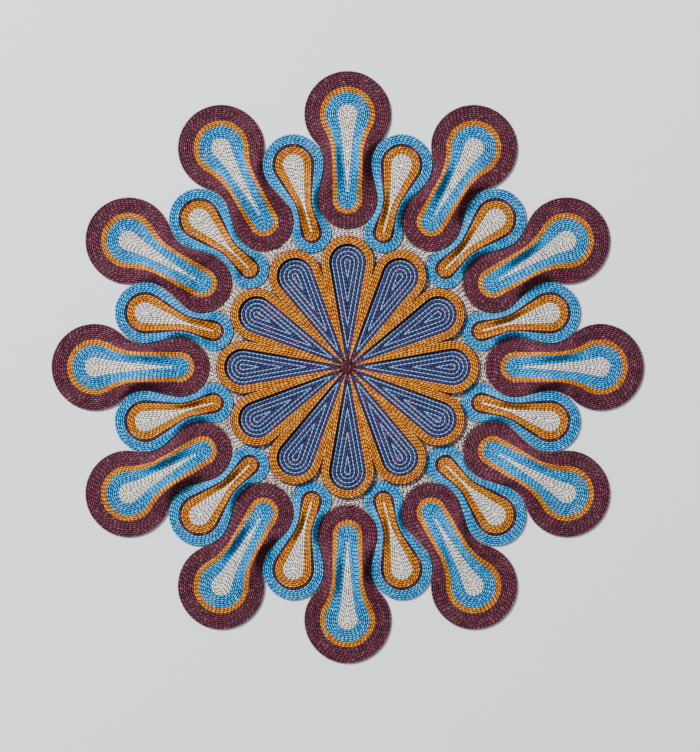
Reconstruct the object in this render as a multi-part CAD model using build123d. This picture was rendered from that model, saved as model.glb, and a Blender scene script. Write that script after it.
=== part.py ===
from build123d import *

import math
import os

# A wall rosette of quilled paper. Fine rolled-paper strands are glued side by side, on a cut
# backing board, into coloured bands. Twelve large keyhole lobes alternate with twelve small ones
# round a ring, and a twelve-petal medallion lies in the middle on a cream ground.
# Each lobe is flat at its two round ends. At its waist the bands are pinched together sideways,
# so they rise into two long ridges with a valley between them.
#
# Frame: millimetres, origin at the centre of the board's back face, back face at Z = 0,
# relief towards +Z. Large lobe 1 points along +Y and the rest follow clockwise.

# ---- Driving dimensions -----------------------------------------------------------------------
LOBE_PAIRS = 12  # large lobes, and as many small lobes, petals and frames
ROSETTE_RADIUS = 300.0  # centre to the tip of a large lobe
STRAND = 2.0  # thickness of one rolled strand, and so of every flat band
BOARD_THICKNESS = 1.0
BOARD_SETBACK = 1.5  # board edge inside the outline of the lobes

LARGE_OUTER_RADIUS = 44.0  # round outer end of a large lobe
LARGE_INNER_RADIUS = 30.0  # round inner end of a large lobe
LARGE_LENGTH = 86.0  # between the centres of those two rounds
LARGE_RIDGE = 14.5  # height of the ridges above the flat bands
LARGE_VALLEY = 0.42  # valley height as a share of the ridge

SMALL_OUTER_RADIUS = 31.0
SMALL_INNER_RADIUS = 20.0
SMALL_RIDGE = 9.5
SMALL_VALLEY = 0.36

# Band widths on the flat outer end, and on the flat inner end, from the outline inwards
LARGE_RIM_OUTER, LARGE_RIM_INNER = 16.0, 15.0  # maroon rim
LARGE_LINE_OUTER, LARGE_LINE_INNER = 5.5, 5.0  # orange line
LARGE_FILL_OUTER = 12.5  # blue fill, which closes on itself at the inner end
SMALL_RIM_OUTER, SMALL_RIM_INNER = 10.0, 9.5  # blue rim
SMALL_LINE_OUTER, SMALL_LINE_INNER = 2.5, 2.5  # maroon line
SMALL_FILL_OUTER = 8.0  # orange fill

# Band edges at the waist, as shares of the outline's half width there
LARGE_WAIST_SHARES = (0.65, 0.475, 0.19)
SMALL_WAIST_SHARES = (0.62, 0.44, 0.10)
# Radius of the hollow curve of each band edge at the waist
LARGE_WAIST_CURVES = (62.0, 69.0, 160.0)
SMALL_WAIST_CURVES = (45.0, 50.0, 62.0)
LARGE_CORE_END = 8.0  # cream core's tip, outside the centre of the inner round
SMALL_CORE_END = 1.0
CORE_TIP_RADIUS = 0.6

GROUND_GAP = 7.4  # cream ground between a petal frame's tip and a large lobe
FRAME_CLEARANCE = 0.35  # cream ground between a petal frame and a small lobe, at the closest
FRAME_WIDTH = 8.0  # orange frame round each petal
FRAME_RISE = 4.0  # frame top above the flat bands, past FRAME_FLAT_FROM
FRAME_CENTRE_RISE = 0.6  # the same, beside the centre knot
FRAME_FLAT_FROM = 78.0  # distance from the centre where the frames stop rising
KNOT_RADIUS = 7.0  # maroon knot at the centre
KNOT_RISE = 1.6
GROUND_CUSP_TRIM = 3.0  # ground stops this far short of where two lobes meet
BOARD_NOTCH_TRIM = 4.0  # board's round middle stops this far short of the outer notches

RELIEF_ACROSS = 41  # sample points across a relief surface
RELIEF_ALONG = 61  # sample points along it
RELIEF_MARGIN = 4.0  # relief surface runs this far past the lobe
TOUCHING = 1e-5  # circles closer than this touch

# ---- Values worked out from them ----------------------------------------------------------------
PITCH = 360.0 / LOBE_PAIRS
HALF_PITCH = math.radians(PITCH / 2)
FLAT_TOP = BOARD_THICKNESS + STRAND

LARGE_OUTER_AT = ROSETTE_RADIUS - LARGE_OUTER_RADIUS
LARGE_INNER_AT = LARGE_OUTER_AT - LARGE_LENGTH


def nested_at(beside_at, beside_radius, own_radius):
    """Distance from the centre, half a pitch away, where a round touches the round beside it."""
    along = beside_at * math.cos(HALF_PITCH)
    across = beside_at * math.sin(HALF_PITCH)
    return along - math.sqrt((beside_radius + own_radius) ** 2 - across**2)


SMALL_OUTER_AT = nested_at(LARGE_OUTER_AT, LARGE_OUTER_RADIUS, SMALL_OUTER_RADIUS)
SMALL_INNER_AT = nested_at(LARGE_INNER_AT, LARGE_INNER_RADIUS, SMALL_INNER_RADIUS)


def polar(radius, degrees):
    """Point at an angle, anticlockwise from +X."""
    return Vector(radius * math.cos(math.radians(degrees)), radius * math.sin(math.radians(degrees)))


class Keyhole:
    """Outline of a lobe that points along +Y: an outer round, a waist and an inner round.

    The waist is hollowed by a circle on each side, joined to both rounds by tangent lines.
    """

    def __init__(self, outer_at, outer, inner_at, inner, waist_half, hollow, hollow_at=None):
        self.outer_at, self.outer = outer_at, outer
        self.inner_at, self.inner = inner_at, inner
        self.hollow = hollow
        self.side = waist_half + hollow
        if hollow_at is None:  # the hollow touches the outer round
            hollow_at = outer_at - math.sqrt((outer + hollow) ** 2 - self.side**2)
        self.hollow_at = hollow_at
        self.leave_outer, self.enter_hollow = self.tangent(outer_at, outer, 1)
        self.enter_inner, self.leave_hollow = self.tangent(inner_at, inner, -1)

    def tangent(self, at, radius, turn):
        """Ends of the line that crosses from a round to the hollow circle on the right."""
        across, along = self.side, self.hollow_at - at
        gap = math.hypot(across, along)
        if gap < radius + self.hollow + TOUCHING:  # the circles touch, so the line has no length
            angle = math.degrees(math.atan2(along, across))
            touch = Vector(0, at) + polar(radius, angle)
            return touch, touch
        spread = math.acos((radius + self.hollow) / gap)
        angle = math.degrees(math.atan2(along, across) + turn * spread)
        round_end = Vector(0, at) + polar(radius, angle)
        hollow_end = Vector(self.side, self.hollow_at) - polar(self.hollow, angle)
        return round_end, hollow_end

    def half_width(self, y):
        """Half width of the outline across the lobe at a distance y along it."""
        if y >= self.leave_outer.Y:
            return math.sqrt(max(0.0, self.outer**2 - (y - self.outer_at) ** 2))
        if y >= self.enter_hollow.Y:
            return self.between(self.leave_outer, self.enter_hollow, y)
        if y >= self.leave_hollow.Y:
            return self.side - math.sqrt(max(0.0, self.hollow**2 - (y - self.hollow_at) ** 2))
        if y >= self.enter_inner.Y:
            return self.between(self.leave_hollow, self.enter_inner, y)
        return math.sqrt(max(0.0, self.inner**2 - (y - self.inner_at) ** 2))

    @staticmethod
    def between(upper, lower, y):
        """X on the straight line between two points at a height y."""
        return lower.X + (upper.X - lower.X) * (y - lower.Y) / (upper.Y - lower.Y)

    def right_side(self):
        """Edges down the right side, from the outer round to the inner one."""
        centre = Vector(self.side, self.hollow_at)
        halfway = (self.enter_hollow + self.leave_hollow) * 0.5 - centre
        waist = centre + halfway.normalized() * self.hollow
        edges = []
        if (self.leave_outer - self.enter_hollow).length > TOUCHING:
            edges.append(Edge.make_line(self.leave_outer, self.enter_hollow))
        edges.append(Edge.make_three_point_arc(self.enter_hollow, waist, self.leave_hollow))
        if (self.leave_hollow - self.enter_inner).length > TOUCHING:
            edges.append(Edge.make_line(self.leave_hollow, self.enter_inner))
        return edges

    def face(self):
        """The outline as a flat face at Z = 0."""
        right = self.right_side()
        left = [edge.mirror(Plane.YZ) for edge in right]
        top = Vector(0, self.outer_at + self.outer)
        bottom = Vector(0, self.inner_at - self.inner)
        mirrored_outer = Vector(-self.leave_outer.X, self.leave_outer.Y)
        mirrored_inner = Vector(-self.enter_inner.X, self.enter_inner.Y)
        over = Edge.make_three_point_arc(mirrored_outer, top, self.leave_outer)
        under = Edge.make_three_point_arc(self.enter_inner, bottom, mirrored_inner)
        return Face(Wire([over, *right, under, *left]))


# ---- Outlines of the bands, from the rim inwards ------------------------------------------------
LARGE_WAIST = SMALL_OUTER_AT * math.sin(HALF_PITCH) - SMALL_OUTER_RADIUS
SMALL_WAIST = LARGE_INNER_AT * math.sin(HALF_PITCH) - LARGE_INNER_RADIUS
SMALL_WAIST_AT = LARGE_INNER_AT * math.cos(HALF_PITCH)


def large_outlines():
    """Outline, line's outer edge, fill's outer edge and core's edge of a large lobe."""
    outer = LARGE_OUTER_RADIUS
    inner = LARGE_INNER_RADIUS
    steps = (
        (LARGE_RIM_OUTER, LARGE_RIM_INNER),
        (LARGE_LINE_OUTER, LARGE_LINE_INNER),
        (LARGE_FILL_OUTER, inner - LARGE_RIM_INNER - LARGE_LINE_INNER - CORE_TIP_RADIUS),
    )
    inner_ats = (LARGE_INNER_AT, LARGE_INNER_AT, LARGE_INNER_AT + LARGE_CORE_END)
    outlines = [
        Keyhole(LARGE_OUTER_AT, outer, LARGE_INNER_AT, inner, LARGE_WAIST, SMALL_OUTER_RADIUS)
    ]
    for step, at, share, curve in zip(steps, inner_ats, LARGE_WAIST_SHARES, LARGE_WAIST_CURVES):
        outer -= step[0]
        inner -= step[1]
        outlines.append(Keyhole(LARGE_OUTER_AT, outer, at, inner, LARGE_WAIST * share, curve))
    return outlines


def small_outlines():
    """Outline, line's outer edge, fill's outer edge and core's edge of a small lobe."""
    outer = SMALL_OUTER_RADIUS
    inner = SMALL_INNER_RADIUS
    steps = (
        (SMALL_RIM_OUTER, SMALL_RIM_INNER),
        (SMALL_LINE_OUTER, SMALL_LINE_INNER),
        (SMALL_FILL_OUTER, inner - SMALL_RIM_INNER - SMALL_LINE_INNER - CORE_TIP_RADIUS),
    )
    inner_ats = (SMALL_INNER_AT, SMALL_INNER_AT, SMALL_INNER_AT + SMALL_CORE_END)
    outlines = [
        Keyhole(
            SMALL_OUTER_AT, outer, SMALL_INNER_AT, inner, SMALL_WAIST, LARGE_INNER_RADIUS, SMALL_WAIST_AT
        )
    ]
    for step, at, share, curve in zip(steps, inner_ats, SMALL_WAIST_SHARES, SMALL_WAIST_CURVES):
        outer -= step[0]
        inner -= step[1]
        waist = SMALL_WAIST * share
        outlines.append(Keyhole(SMALL_OUTER_AT, outer, at, inner, waist, curve, SMALL_WAIST_AT))
    return outlines


# ---- Relief -------------------------------------------------------------------------------------
def swell(y, low, high, peak):
    """Smooth rise from 0 at low to 1 at peak and back to 0 at high."""
    share = min(1.0, max(0.0, (y - low) / (high - low)))
    power = math.log(0.5) / math.log((peak - low) / (high - low))
    return math.sin(math.pi * share**power) ** 2


def ridge_profile(x, widths, valley):
    """Height across a lobe, from 0 at its edge over the ridge, which is 1, to the valley."""
    edge, line, fill, core = widths
    if x >= edge:
        return 0.0
    crest = (line + fill) / 2
    if x >= crest:
        share = (edge - x) / (edge - crest)
        return math.sin(share * math.pi / 2)
    if x <= core:
        return valley
    share = (crest - x) / (crest - core)
    return valley + (1 - valley) * math.cos(share * math.pi / 2) ** 2


def relief_height(x, y, outlines, ridge, valley):
    """Height of a lobe's relief above the flat bands."""
    low, high = outlines[0].inner_at, outlines[0].outer_at
    lift = swell(y, low, high, outlines[0].hollow_at)
    if lift < 1e-6:
        return 0.0
    widths = [outline.half_width(y) for outline in outlines]
    return ridge * lift * ridge_profile(abs(x), widths, valley)


def relief_block(outlines, ridge, valley):
    """Block wider than a lobe whose top is the lobe's relief."""
    half = outlines[0].outer + RELIEF_MARGIN
    low = outlines[0].inner_at - outlines[0].inner - RELIEF_MARGIN
    high = outlines[0].outer_at + outlines[0].outer + RELIEF_MARGIN
    rows = []
    for i in range(RELIEF_ALONG):
        y = low + (high - low) * i / (RELIEF_ALONG - 1)
        row = []
        for j in range(RELIEF_ACROSS):
            x = half * (2 * j / (RELIEF_ACROSS - 1) - 1)
            row.append(Vector(x, y, FLAT_TOP + relief_height(x, y, outlines, ridge, valley)))
        rows.append(row)
    top = Face.make_surface_from_array_of_points(rows, tol=0.05, min_deg=3, max_deg=3)
    return extrude(top, 3 * (FLAT_TOP + ridge), dir=(0, 0, -1))


def cut_bands(outlines, ridge, valley):
    """The four bands of a lobe that points along +Y, from the board up to its relief."""
    block = relief_block(outlines, ridge, valley).solids()[0]
    faces = [outline.face() for outline in outlines]
    rings = [outside - inside for outside, inside in zip(faces, faces[1:])] + [faces[-1]]
    bands = []
    for ring in rings:
        column = slab(ring.faces()[0], BOARD_THICKNESS, 2 * ridge + FLAT_TOP)
        bands.append((column & block).solids()[0])
    return bands


# ---- Medallion ----------------------------------------------------------------------------------
def medallion_sizes():
    """Reach of the frames and the radius of their round ends, which nest against the small lobes."""
    reach = LARGE_INNER_AT - LARGE_INNER_RADIUS - GROUND_GAP
    across = SMALL_INNER_AT * math.sin(HALF_PITCH)
    short = reach - SMALL_INNER_AT * math.cos(HALF_PITCH)
    beside = SMALL_INNER_RADIUS + FRAME_CLEARANCE
    radius = (across**2 + short**2 - beside**2) / (2 * (short + beside))
    return reach, radius


FRAME_REACH, FRAME_RADIUS = medallion_sizes()
PETAL_AT = FRAME_REACH - FRAME_RADIUS
PETAL_RADIUS = FRAME_RADIUS - FRAME_WIDTH


def petal_face(widened=0.0):
    """Teardrop with its point at the centre and its round end on +Y, widened all round."""
    radius = PETAL_RADIUS
    lean = math.asin(radius / PETAL_AT)
    reach = radius + widened
    right_round = Vector(0, PETAL_AT) + polar(reach, -math.degrees(lean))
    right_point = polar(widened, -math.degrees(lean)) if widened else Vector(0, 0)
    left_round = Vector(-right_round.X, right_round.Y)
    left_point = Vector(-right_point.X, right_point.Y)
    over = Edge.make_three_point_arc(left_round, Vector(0, PETAL_AT + reach), right_round)
    down = Edge.make_line(right_round, right_point)
    up = Edge.make_line(left_point, left_round)
    if not widened:
        return Face(Wire([over, down, up]))
    under = Edge.make_three_point_arc(right_point, Vector(0, -widened), left_point)
    return Face(Wire([over, down, under, up]))


def sector_face(radius):
    """Slice of a disc, one pitch wide, about +Y."""
    left, right = polar(radius, 90 + PITCH / 2), polar(radius, 90 - PITCH / 2)
    arc = Edge.make_three_point_arc(left, Vector(0, radius), right)
    return Face(Wire([Edge.make_line(Vector(0, 0), left), arc, Edge.make_line(right, Vector(0, 0))]))


def disc_face(radius, at=(0, 0)):
    """Disc at Z = 0."""
    return Face(Wire([Edge.make_circle(radius, Plane(origin=(at[0], at[1], 0)))]))


def slab(face, bottom, height):
    """Solid of a flat face, from a height upwards."""
    return extrude(face.moved(Location((0, 0, bottom))), height, dir=(0, 0, 1))


def make_petal():
    """Indigo petal, flat on the board, with its point cut off by the knot."""
    face = (petal_face() - disc_face(KNOT_RADIUS)).faces()[0]
    return slab(face, BOARD_THICKNESS, STRAND)


def make_frame():
    """Orange frame round one petal, rising from the knot to its full height."""
    face = petal_face(FRAME_WIDTH) & sector_face(2 * FRAME_REACH)
    face = (face.faces()[0] - petal_face() - disc_face(KNOT_RADIUS)).faces()
    low = BOARD_THICKNESS + STRAND + FRAME_CENTRE_RISE
    high = BOARD_THICKNESS + STRAND + FRAME_RISE
    wide = FRAME_REACH + RELIEF_MARGIN
    profile = Polyline(
        (0, 0), (wide, 0), (wide, high), (FRAME_FLAT_FROM, high), (KNOT_RADIUS, low), (0, low), (0, 0)
    )
    dish = revolve(Plane.XZ * make_face(profile), Axis.Z)
    solids = []
    for part in face:
        solids += (slab(part, BOARD_THICKNESS, 2 * high) & dish).solids()
    return Compound(children=solids) if len(solids) > 1 else solids[0]


def make_ground(large_face, small_face):
    """Cream ground between the medallion and the lobes."""
    meet = math.hypot(
        LARGE_INNER_RADIUS * SMALL_INNER_AT * math.sin(HALF_PITCH),
        LARGE_INNER_AT * (LARGE_INNER_RADIUS + SMALL_INNER_RADIUS)
        - LARGE_INNER_RADIUS * (LARGE_INNER_AT - SMALL_INNER_AT * math.cos(HALF_PITCH)),
    ) / (LARGE_INNER_RADIUS + SMALL_INNER_RADIUS)
    cell = disc_face(meet - GROUND_CUSP_TRIM) & sector_face(2 * meet)
    cell = cell.faces()[0] - petal_face(FRAME_WIDTH) - large_face
    for side in (-1, 1):
        cell = cell - small_face.rotate(Axis.Z, side * PITCH / 2)
    return [slab(face, BOARD_THICKNESS, STRAND) for face in cell.faces()]


def make_board():
    """Backing board: a disc under the middle and a round under each lobe's outer end."""
    small_x = SMALL_OUTER_AT * math.sin(HALF_PITCH)
    small_y = SMALL_OUTER_AT * math.cos(HALF_PITCH)
    share = LARGE_OUTER_RADIUS / (LARGE_OUTER_RADIUS + SMALL_OUTER_RADIUS)
    notch = math.hypot(small_x * share, LARGE_OUTER_AT + (small_y - LARGE_OUTER_AT) * share)
    board = slab(disc_face(notch - BOARD_NOTCH_TRIM), 0, BOARD_THICKNESS)
    rounds = []
    for i in range(LOBE_PAIRS):
        large = disc_face(LARGE_OUTER_RADIUS - BOARD_SETBACK, (0, LARGE_OUTER_AT))
        small = disc_face(SMALL_OUTER_RADIUS - BOARD_SETBACK, (0, SMALL_OUTER_AT))
        rounds.append(slab(large.rotate(Axis.Z, -PITCH * i), 0, BOARD_THICKNESS))
        rounds.append(slab(small.rotate(Axis.Z, -PITCH * (i + 0.5)), 0, BOARD_THICKNESS))
    return board.fuse(*rounds).clean()


def make_knot():
    """Maroon knot where the petals meet."""
    return slab(disc_face(KNOT_RADIUS), BOARD_THICKNESS, STRAND + KNOT_RISE)


# ---- Writing ------------------------------------------------------------------------------------
def around(shape, index, offset=0.0):
    """Copy of a shape that points along +Y, turned to its place in the ring."""
    return shape.rotate(Axis.Z, -PITCH * (index + offset))


def write(name, *solids):
    """Writes one sub-part to parts/."""
    shape = solids[0] if len(solids) == 1 else Compound(children=list(solids))
    export_step(shape, f"parts/{name}.step")


def main():
    os.makedirs("parts", exist_ok=True)
    large, small = large_outlines(), small_outlines()
    large_bands = cut_bands(large, LARGE_RIDGE, LARGE_VALLEY)
    small_bands = cut_bands(small, SMALL_RIDGE, SMALL_VALLEY)
    petal, frame = make_petal(), make_frame()
    ring = range(LOBE_PAIRS)

    write("backing_board", make_board())
    for i in ring:
        write(f"large_lobe_{i + 1:02d}_maroon_rim", around(large_bands[0], i))
        write(f"small_lobe_{i + 1:02d}_blue_rim", around(small_bands[0], i, 0.5))
        write(f"petal_{i + 1:02d}", around(petal, i))
        write(f"petal_frame_{i + 1:02d}", around(frame, i))
    for name, band in zip(("orange_lines", "blue_fills", "cream_cores"), large_bands[1:]):
        write(f"large_lobe_{name}", *[around(band, i) for i in ring])
    for name, band in zip(("maroon_lines", "orange_fills", "cream_cores"), small_bands[1:]):
        write(f"small_lobe_{name}", *[around(band, i, 0.5) for i in ring])
    cells = make_ground(large[0].face(), small[0].face())
    write("cream_ground", *[around(cell, i) for i in ring for cell in cells])
    write("centre_knot", make_knot())


main()
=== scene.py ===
"""Looks of a quilled paper wall rosette: rolled paper strands laid side by side on a backing board.

Lengths are millimetres inside the makers below, and become metres when a mesh is made.
"""

import logging
import math
from dataclasses import dataclass, field
from enum import Enum
from typing import Any, Optional, Union

import bpy
import numpy as np
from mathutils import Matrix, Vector

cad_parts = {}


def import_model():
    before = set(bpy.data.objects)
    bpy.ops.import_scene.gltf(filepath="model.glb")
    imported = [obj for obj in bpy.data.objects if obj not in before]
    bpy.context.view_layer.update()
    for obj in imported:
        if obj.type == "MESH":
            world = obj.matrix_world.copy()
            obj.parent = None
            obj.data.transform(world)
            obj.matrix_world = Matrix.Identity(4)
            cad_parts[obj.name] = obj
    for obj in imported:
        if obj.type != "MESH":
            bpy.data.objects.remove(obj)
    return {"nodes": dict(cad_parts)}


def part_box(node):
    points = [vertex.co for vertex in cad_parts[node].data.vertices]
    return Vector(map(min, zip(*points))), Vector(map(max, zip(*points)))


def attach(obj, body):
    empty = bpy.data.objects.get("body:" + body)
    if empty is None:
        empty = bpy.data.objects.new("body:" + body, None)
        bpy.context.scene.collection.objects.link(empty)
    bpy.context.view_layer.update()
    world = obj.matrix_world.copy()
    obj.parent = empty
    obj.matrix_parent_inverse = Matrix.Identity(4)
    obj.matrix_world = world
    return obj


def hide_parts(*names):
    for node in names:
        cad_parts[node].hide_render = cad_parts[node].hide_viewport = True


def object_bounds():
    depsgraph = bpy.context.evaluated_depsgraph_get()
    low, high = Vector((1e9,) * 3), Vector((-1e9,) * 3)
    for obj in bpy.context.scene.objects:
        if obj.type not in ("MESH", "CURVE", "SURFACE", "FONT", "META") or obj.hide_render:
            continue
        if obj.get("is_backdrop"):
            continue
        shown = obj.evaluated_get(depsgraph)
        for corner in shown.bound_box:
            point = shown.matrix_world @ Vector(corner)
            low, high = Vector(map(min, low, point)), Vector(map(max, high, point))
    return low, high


LOG = logging.getLogger("rosette")
MM = 0.001
SEED = 12
LOBE_PAIRS = 12
PITCH = 2 * math.pi / LOBE_PAIRS
STRAND = 2.0
FOLD = 4.1  # length of one turn of the rolled paper along a strand
SHARPEST_TURN = 0.42  # between two points of an arc, in radians
TIGHTEST_BEND = 0.95  # radius that a strand is bent to at the end of a closed band
DRAW_BACK = 2.2  # how far that end draws back for each unit that its radius falls short
OVERLAP = 1.03  # radius of a lobe's strands beside half their pitch
STEP = 3.2  # longest distance between two points of a strand's path
TOUCHING = 0.05  # distance under which two points count as one


def polar(radius: float, angle: float) -> np.ndarray:
    """Point at an angle, anticlockwise from +X."""
    return np.array([radius * math.cos(angle), radius * math.sin(angle)])


def arc(centre: np.ndarray, radius: float, start: float, end: float, step: float) -> np.ndarray:
    """Points along an arc, both ends included. The last angle may be smaller than the first."""
    sweep = abs(end - start)
    count = max(2, math.ceil(sweep * radius / step), math.ceil(sweep / SHARPEST_TURN))
    angles = np.linspace(start, end, count + 1)
    return centre + radius * np.stack([np.cos(angles), np.sin(angles)], axis=1)


def run(start: np.ndarray, end: np.ndarray, step: float) -> np.ndarray:
    """Points along a straight run, both ends included."""
    count = max(1, math.ceil(float(np.linalg.norm(end - start)) / step))
    return start + (end - start) * np.linspace(0, 1, count + 1)[:, None]


def without_repeats(points: np.ndarray, least: float = 1e-3) -> np.ndarray:
    """Points with each one that all but repeats the point before it dropped."""
    apart = np.linalg.norm(np.diff(points, axis=0), axis=1) > least
    return points[np.concatenate([[True], apart])]


def turned(points: np.ndarray, angle: float) -> np.ndarray:
    """Points turned clockwise about the rosette's centre."""
    cos, sin = math.cos(angle), math.sin(angle)
    result = points.copy()
    result[:, 0] = points[:, 0] * cos + points[:, 1] * sin
    result[:, 1] = points[:, 1] * cos - points[:, 0] * sin
    return result


# Outlines and relief


@dataclass(frozen=True)
class Keyhole:
    """Outline of a lobe along +Y: an outer round, a hollow waist and an inner round."""

    outer_at: float
    outer: float
    inner_at: float
    inner: float
    waist: float
    hollow: float
    hollow_at: float

    def crossing(self, at: float, radius: float, turn: int) -> tuple[float, np.ndarray, np.ndarray]:
        """Tangent line from a round to the hollow on the right.

        Args:
            at: Place of the round along the lobe.
            radius: Radius of the round.
            turn: 1 for the outer round, -1 for the inner one.

        Returns:
            The line's angle round both circles, and its ends on the round and on the hollow.
        """
        across, along = self.waist + self.hollow, self.hollow_at - at
        gap = math.hypot(across, along)
        spread = math.acos(min(1.0, (radius + self.hollow) / gap))
        angle = math.atan2(along, across) + turn * spread
        on_round = np.array([0.0, at]) + polar(radius, angle)
        on_hollow = np.array([across, self.hollow_at]) - polar(self.hollow, angle)
        return angle, on_round, on_hollow

    def right_side(self, step: float) -> np.ndarray:
        """Points down the right side, from the outer tip to the inner one."""
        top, leave, enter = self.crossing(self.outer_at, self.outer, 1)
        low, arrive, depart = self.crossing(self.inner_at, self.inner, -1)
        hollow = np.array([self.waist + self.hollow, self.hollow_at])
        points = np.concatenate(
            [
                arc(np.array([0.0, self.outer_at]), self.outer, math.pi / 2, top, step),
                run(leave, enter, step),
                arc(hollow, self.hollow, math.pi + top, math.pi + low, step),
                run(depart, arrive, step),
                arc(np.array([0.0, self.inner_at]), self.inner, low, -math.pi / 2, step),
            ]
        )
        return without_repeats(points)

    def half_widths(self, y: np.ndarray) -> np.ndarray:
        """Half width of the outline at each distance along the lobe."""
        side = self.right_side(1.0)
        order = np.argsort(side[:, 1], kind="stable")
        return np.interp(y, side[order, 1], side[order, 0], left=0.0, right=0.0)


@dataclass(frozen=True)
class Relief:
    """Two long ridges and a valley that run down a lobe's waist."""

    outlines: tuple[Keyhole, ...]
    ridge: float
    valley: float
    base: float

    def lift(self, y: np.ndarray) -> np.ndarray:
        """Share of the full relief at each distance along the lobe."""
        outline = self.outlines[0]
        low, high = outline.inner_at, outline.outer_at
        share = np.clip((y - low) / (high - low), 0.0, 1.0)
        power = math.log(0.5) / math.log((outline.hollow_at - low) / (high - low))
        return np.sin(math.pi * share**power) ** 2

    def heights(self, points: np.ndarray) -> np.ndarray:
        """Height of the relief's skin above the board's back at each point."""
        x, y = np.abs(points[:, 0]), points[:, 1]
        edge, line, fill, core = (outline.half_widths(y) for outline in self.outlines)
        crest = (line + fill) / 2
        outward = np.sin(np.clip((edge - x) / np.maximum(edge - crest, 1e-6), 0, 1) * math.pi / 2)
        inward = np.cos(np.clip((crest - x) / np.maximum(crest - core, 1e-6), 0, 1) * math.pi / 2) ** 2
        profile = np.where(x >= crest, outward, self.valley + (1 - self.valley) * inward)
        return self.base + self.ridge * self.lift(y) * profile

    def under_skin(self, points: np.ndarray, depth: float) -> np.ndarray:
        """Points moved onto the relief, at a depth below its skin and square to it."""
        nudge = 0.3
        beside_x = self.heights(points + [nudge, 0.0]) - self.heights(points - [nudge, 0.0])
        beside_y = self.heights(points + [0.0, nudge]) - self.heights(points - [0.0, nudge])
        normal = np.stack([-beside_x, -beside_y, np.full(len(points), 2 * nudge)], axis=1)
        normal /= np.linalg.norm(normal, axis=1)[:, None]
        skin = np.column_stack([points, self.heights(points)])
        return skin - depth * normal


# Strands


@dataclass
class Strand:
    """One rolled paper strand along its centre line."""

    points: np.ndarray
    closed: bool
    radius: float = STRAND / 2
    tone: float = 0.5


def turn_all(strands: list[Strand], place: float) -> list[Strand]:
    """Turns strands to a place round the ring and gives them back."""
    for strand in strands:
        strand.points = turned(strand.points, PITCH * place)
    return strands


class NodeBench:
    """Adds nodes to one node tree."""

    tree: bpy.types.NodeTree

    def feed(self, socket: bpy.types.NodeSocket, value: Any) -> None:
        """Links or sets one socket."""
        value = getattr(value, "socket", value)
        if isinstance(value, bpy.types.NodeSocket):
            self.tree.links.new(value, socket)
        elif socket.type == "RGBA":
            socket.default_value = (*value, 1.0)
        else:
            socket.default_value = value

    def node(self, kind: str, settings: Optional[dict] = None, **values: Any) -> bpy.types.Node:
        """Adds a node, and sets its properties first and then its sockets.

        A socket's name has underscores for spaces, and takes a value or a link.
        """
        made = self.tree.nodes.new(kind)
        for name, value in (settings or {}).items():
            setattr(made, name, value)
        for name, value in values.items():
            self.feed(made.inputs[name.replace("_", " ")], value)
        return made


@dataclass
class SweepTree(NodeBench):
    """Geometry Nodes that sweep a round section along every path of a wire mesh."""

    sides: int = 6
    tree: bpy.types.GeometryNodeTree = field(init=False)
    sockets: dict[str, str] = field(init=False, default_factory=dict)

    def __post_init__(self) -> None:
        """Builds the tree and keeps the identifiers of its inputs."""
        self.tree = bpy.data.node_groups.new("strand_sweep", "GeometryNodeTree")
        face = self.tree.interface
        inputs = (
            ("Paths", "NodeSocketGeometry", None),
            ("Section sides", "NodeSocketInt", self.sides),
            ("Section radius", "NodeSocketFloat", 1.0),
            ("Paper", "NodeSocketMaterial", None),
        )
        for name, kind, value in inputs:
            made = face.new_socket(name, in_out="INPUT", socket_type=kind)
            if value is not None:
                made.default_value = value
            self.sockets[name] = made.identifier
        face.new_socket("Strands", in_out="OUTPUT", socket_type="NodeSocketGeometry")
        self.wire()

    def wire(self) -> None:
        """Adds and links the nodes. The section is turned so that the join of its ring runs
        underneath.
        """
        per_point = {"data_type": "FLOAT", "domain": "POINT"}
        given = self.tree.nodes.new("NodeGroupInput").outputs
        path = self.node("GeometryNodeMeshToCurve", Mesh=given["Paths"])
        upright = self.node(
            "GeometryNodeSetCurveNormal", {"mode": "Z_UP"}, Curve=path.outputs["Curve"]
        )
        place = self.node("GeometryNodeSplineParameter")
        measured = self.node(
            "GeometryNodeStoreNamedAttribute",
            per_point,
            Geometry=upright.outputs["Curve"],
            Name="along",
            Value=place.outputs["Length"],
        )
        girth = self.node("GeometryNodeInputNamedAttribute", {"data_type": "FLOAT"}, Name="girth")
        sized = self.node(
            "GeometryNodeSetCurveRadius",
            Curve=measured.outputs["Geometry"],
            Radius=girth.outputs["Attribute"],
        )
        section = self.node(
            "GeometryNodeCurvePrimitiveCircle",
            {"mode": "RADIUS"},
            Resolution=given["Section sides"],
            Radius=given["Section radius"],
        )
        spun = self.node(
            "GeometryNodeTransform",
            Geometry=section.outputs["Curve"],
            Rotation=(0.0, 0.0, math.pi / 2),
        )
        around = self.node("GeometryNodeSplineParameter")
        marked = self.node(
            "GeometryNodeStoreNamedAttribute",
            per_point,
            Geometry=spun.outputs["Geometry"],
            Name="around",
            Value=around.outputs["Factor"],
        )
        tube = self.node(
            "GeometryNodeCurveToMesh",
            Curve=sized.outputs["Curve"],
            Profile_Curve=marked.outputs["Geometry"],
            Fill_Caps=True,
        )
        if "Scale" in tube.inputs:
            self.tree.links.new(girth.outputs["Attribute"], tube.inputs["Scale"])
        whole = self.node("GeometryNodeRealizeInstances", Geometry=tube.outputs["Mesh"])
        dressed = self.node(
            "GeometryNodeSetMaterial", Geometry=whole.outputs["Geometry"], Material=given["Paper"]
        )
        out = self.tree.nodes.new("NodeGroupOutput")
        self.tree.links.new(dressed.outputs["Geometry"], out.inputs["Strands"])


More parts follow.
